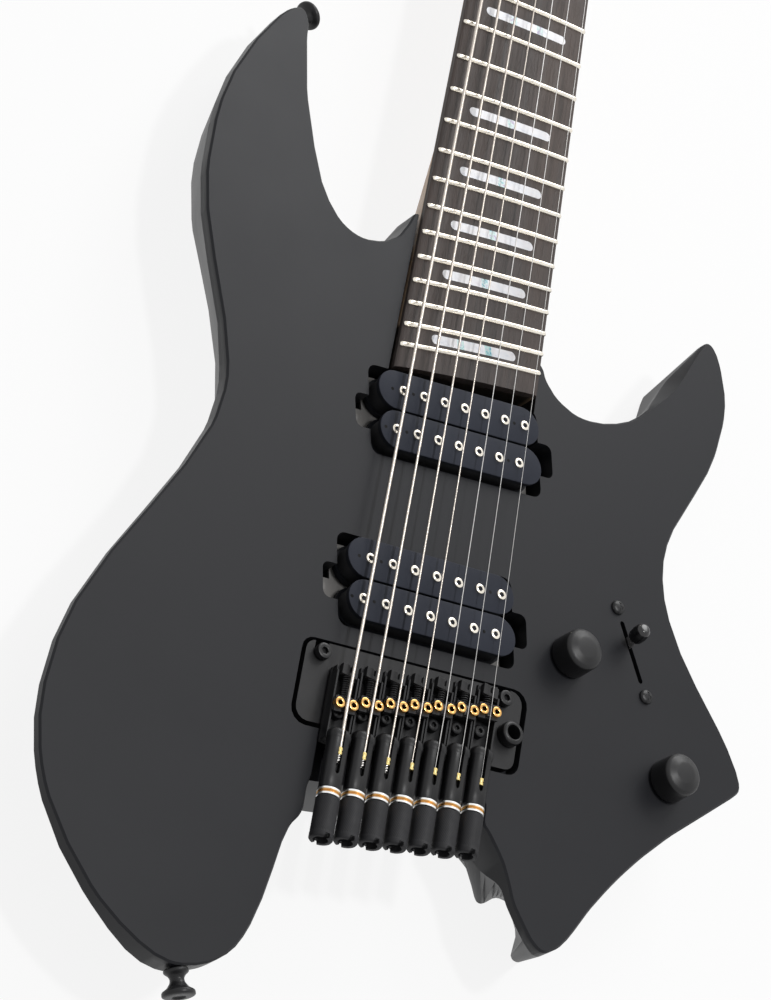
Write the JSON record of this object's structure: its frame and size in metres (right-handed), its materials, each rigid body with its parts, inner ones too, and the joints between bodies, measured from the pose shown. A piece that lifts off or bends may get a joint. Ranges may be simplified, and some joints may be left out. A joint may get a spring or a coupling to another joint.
{
  "type": "headless electric guitar",
  "caption": "Headless electric guitar with fanned frets, a slanted tremolo bridge with tuners behind it and two slanted pickups.",
  "frame": {"origin": "on the flat back of the instrument, on its centre line, level with the saddle of the thinnest string", "axes": "+Y along the strings toward the nut, +Z out of the face toward the player's picking hand, +X toward the thin strings"},
  "size_m": [0.3132, 0.852, 0.0552],
  "materials": {
    "body_paint": "satin charcoal paint over a solid wood body",
    "neck_wood": "satin oiled maple",
    "board_wood": "open grained dark hardwood with nickel frets",
    "steel": "zinc plated",
    "nut_steel": "satin",
    "black_metal": "satin black plating",
    "block_steel": "satin",
    "nickel": "polished",
    "black_plastic": "satin",
    "bobbin_plastic": "matte",
    "knob_metal": "dark anodised, satin",
    "string_steel": "bright",
    "puller_brass": "satin"
  },
  "bodies": {
    "instrument": {"body": "body_paint", "neck": "neck_wood", "fretboard": "board_wood", "truss_rod": "steel", "headpiece": "black_metal", "nut": "nut_steel", "string_clamp": "black_metal", "pivot_stud_bass": "nickel", "pivot_stud_treble": "nickel", "spring_claw": "steel", "tremolo_spring_1": "steel", "tremolo_spring_2": "steel", "tremolo_spring_3": "steel", "tremolo_cover": "black_plastic", "control_cover": "black_plastic", "neck_pickup_baseplate": "nickel", "neck_pickup_bobbins": "bobbin_plastic", "bridge_pickup_baseplate": "nickel", "bridge_pickup_bobbins": "bobbin_plastic", "volume_pot": "steel", "tone_pot": "steel", "selector_switch": "black_plastic", "output_jack": "black_metal", "strap_button_butt": "black_metal", "strap_button_horn": "black_metal", "string_1": "string_steel", "string_2": "string_steel", "string_3": "string_steel", "string_4": "string_steel", "string_5": "string_steel", "string_6": "string_steel", "string_7": "string_steel"},
    "tremolo": {"tremolo_plate": "black_metal", "tuner_modules": "black_metal", "tremolo_block": "block_steel", "arm_socket": "black_metal"},
    "volume_control": {"volume_knob": "knob_metal"},
    "tone_control": {"tone_knob": "knob_metal"},
    "selector_control": {"selector_lever": "black_plastic"},
    "saddle_1_carriage": {"saddle_1": "black_metal"},
    "tuner_1_knob": {"tuner_knob_1": "knob_metal"},
    "tuner_1_puller": {"string_puller_1": "puller_brass"},
    "saddle_2_carriage": {"saddle_2": "black_metal"},
    "tuner_2_knob": {"tuner_knob_2": "knob_metal"},
    "tuner_2_puller": {"string_puller_2": "puller_brass"},
    "saddle_3_carriage": {"saddle_3": "black_metal"},
    "tuner_3_knob": {"tuner_knob_3": "knob_metal"},
    "tuner_3_puller": {"string_puller_3": "puller_brass"},
    "saddle_4_carriage": {"saddle_4": "black_metal"},
    "tuner_4_knob": {"tuner_knob_4": "knob_metal"},
    "tuner_4_puller": {"string_puller_4": "puller_brass"},
    "saddle_5_carriage": {"saddle_5": "black_metal"},
    "tuner_5_knob": {"tuner_knob_5": "knob_metal"},
    "tuner_5_puller": {"string_puller_5": "puller_brass"},
    "saddle_6_carriage": {"saddle_6": "black_metal"},
    "tuner_6_knob": {"tuner_knob_6": "knob_metal"},
    "tuner_6_puller": {"string_puller_6": "puller_brass"},
    "saddle_7_carriage": {"saddle_7": "black_metal"},
    "tuner_7_knob": {"tuner_knob_7": "knob_metal"},
    "tuner_7_puller": {"string_puller_7": "puller_brass"}
  },
  "joints": [
    {"name": "tremolo_tilt", "type": "hinge", "parent": "instrument", "child": "tremolo", "pos_m": [0, 0.0044, 0.0395], "axis": [0.9792, 0.2028, 0], "range_deg": [-8, 4], "stiffness_Nm_per_rad": 12, "deforming": ["string_1", "string_2", "string_3", "string_4", "string_5", "string_6", "string_7", "tremolo_spring_1", "tremolo_spring_2", "tremolo_spring_3"]},
    {"name": "volume_turn", "type": "hinge", "parent": "instrument", "child": "volume_control", "pos_m": [0.0695, 0.0448, 0.0428], "axis": [0, 0, 1], "range_deg": [-150, 150]},
    {"name": "tone_turn", "type": "hinge", "parent": "instrument", "child": "tone_control", "pos_m": [0.1245, 0.0122, 0.0428], "axis": [0, 0, 1], "range_deg": [-150, 150]},
    {"name": "selector_throw", "type": "hinge", "parent": "instrument", "child": "selector_control", "pos_m": [0.0996, 0.0613, 0.02], "axis": [0.8634, 0.5045, 0], "range_deg": [-12, 32]},
    {"name": "saddle_1_slide", "type": "slide", "parent": "tremolo", "child": "saddle_1_carriage", "axis": [0, 1, 0], "range_m": [-0.0015, 0.0015], "deforming": ["string_1"]},
    {"name": "tuner_1_turn", "type": "hinge", "parent": "tremolo", "child": "tuner_1_knob", "pos_m": [0.0318, -0.05, 0.0482], "axis": [0, 1, 0], "range_deg": [-900, 900], "deforming": ["string_1"]},
    {"name": "puller_1_draw", "type": "slide", "parent": "tremolo", "child": "tuner_1_puller", "axis": [0, -1, 0], "range_m": [-0.002, 0.002], "deforming": ["string_1"]},
    {"name": "saddle_2_slide", "type": "slide", "parent": "tremolo", "child": "saddle_2_carriage", "axis": [0, 1, 0], "range_m": [-0.0015, 0.0015], "deforming": ["string_2"]},
    {"name": "tuner_2_turn", "type": "hinge", "parent": "tremolo", "child": "tuner_2_knob", "pos_m": [0.0212, -0.05, 0.0482], "axis": [0, 1, 0], "range_deg": [-900, 900], "deforming": ["string_2"]},
    {"name": "puller_2_draw", "type": "slide", "parent": "tremolo", "child": "tuner_2_puller", "axis": [0, -1, 0], "range_m": [-0.002, 0.002], "deforming": ["string_2"]},
    {"name": "saddle_3_slide", "type": "slide", "parent": "tremolo", "child": "saddle_3_carriage", "axis": [0, 1, 0], "range_m": [-0.0015, 0.0015], "deforming": ["string_3"]},
    {"name": "tuner_3_turn", "type": "hinge", "parent": "tremolo", "child": "tuner_3_knob", "pos_m": [0.0106, -0.05, 0.0482], "axis": [0, 1, 0], "range_deg": [-900, 900], "deforming": ["string_3"]},
    {"name": "puller_3_draw", "type": "slide", "parent": "tremolo", "child": "tuner_3_puller", "axis": [0, -1, 0], "range_m": [-0.002, 0.002], "deforming": ["string_3"]},
    {"name": "saddle_4_slide", "type": "slide", "parent": "tremolo", "child": "saddle_4_carriage", "axis": [0, 1, 0], "range_m": [-0.0015, 0.0015], "deforming": ["string_4"]},
    {"name": "tuner_4_turn", "type": "hinge", "parent": "tremolo", "child": "tuner_4_knob", "pos_m": [0, -0.05, 0.0482], "axis": [0, 1, 0], "range_deg": [-900, 900], "deforming": ["string_4"]},
    {"name": "puller_4_draw", "type": "slide", "parent": "tremolo", "child": "tuner_4_puller", "axis": [0, -1, 0], "range_m": [-0.002, 0.002], "deforming": ["string_4"]},
    {"name": "saddle_5_slide", "type": "slide", "parent": "tremolo", "child": "saddle_5_carriage", "axis": [0, 1, 0], "range_m": [-0.0015, 0.0015], "deforming": ["string_5"]},
    {"name": "tuner_5_turn", "type": "hinge", "parent": "tremolo", "child": "tuner_5_knob", "pos_m": [-0.0106, -0.05, 0.0482], "axis": [0, 1, 0], "range_deg": [-900, 900], "deforming": ["string_5"]},
    {"name": "puller_5_draw", "type": "slide", "parent": "tremolo", "child": "tuner_5_puller", "axis": [0, -1, 0], "range_m": [-0.002, 0.002], "deforming": ["string_5"]},
    {"name": "saddle_6_slide", "type": "slide", "parent": "tremolo", "child": "saddle_6_carriage", "axis": [0, 1, 0], "range_m": [-0.0015, 0.0015], "deforming": ["string_6"]},
    {"name": "tuner_6_turn", "type": "hinge", "parent": "tremolo", "child": "tuner_6_knob", "pos_m": [-0.0212, -0.05, 0.0482], "axis": [0, 1, 0], "range_deg": [-900, 900], "deforming": ["string_6"]},
    {"name": "puller_6_draw", "type": "slide", "parent": "tremolo", "child": "tuner_6_puller", "axis": [0, -1, 0], "range_m": [-0.002, 0.002], "deforming": ["string_6"]},
    {"name": "saddle_7_slide", "type": "slide", "parent": "tremolo", "child": "saddle_7_carriage", "axis": [0, 1, 0], "range_m": [-0.0015, 0.0015], "deforming": ["string_7"]},
    {"name": "tuner_7_turn", "type": "hinge", "parent": "tremolo", "child": "tuner_7_knob", "pos_m": [-0.0318, -0.05, 0.0482], "axis": [0, 1, 0], "range_deg": [-900, 900], "deforming": ["string_7"]},
    {"name": "puller_7_draw", "type": "slide", "parent": "tremolo", "child": "tuner_7_puller", "axis": [0, -1, 0], "range_m": [-0.002, 0.002], "deforming": ["string_7"]}
  ],
  "couplings": [
    {"joint": "tuner_1_turn", "follows": "puller_1_draw", "rad_per_m": 7854},
    {"joint": "tuner_2_turn", "follows": "puller_2_draw", "rad_per_m": 7854},
    {"joint": "tuner_3_turn", "follows": "puller_3_draw", "rad_per_m": 7854},
    {"joint": "tuner_4_turn", "follows": "puller_4_draw", "rad_per_m": 7854},
    {"joint": "tuner_5_turn", "follows": "puller_5_draw", "rad_per_m": 7854},
    {"joint": "tuner_6_turn", "follows": "puller_6_draw", "rad_per_m": 7854},
    {"joint": "tuner_7_turn", "follows": "puller_7_draw", "rad_per_m": 7854}
  ]
}
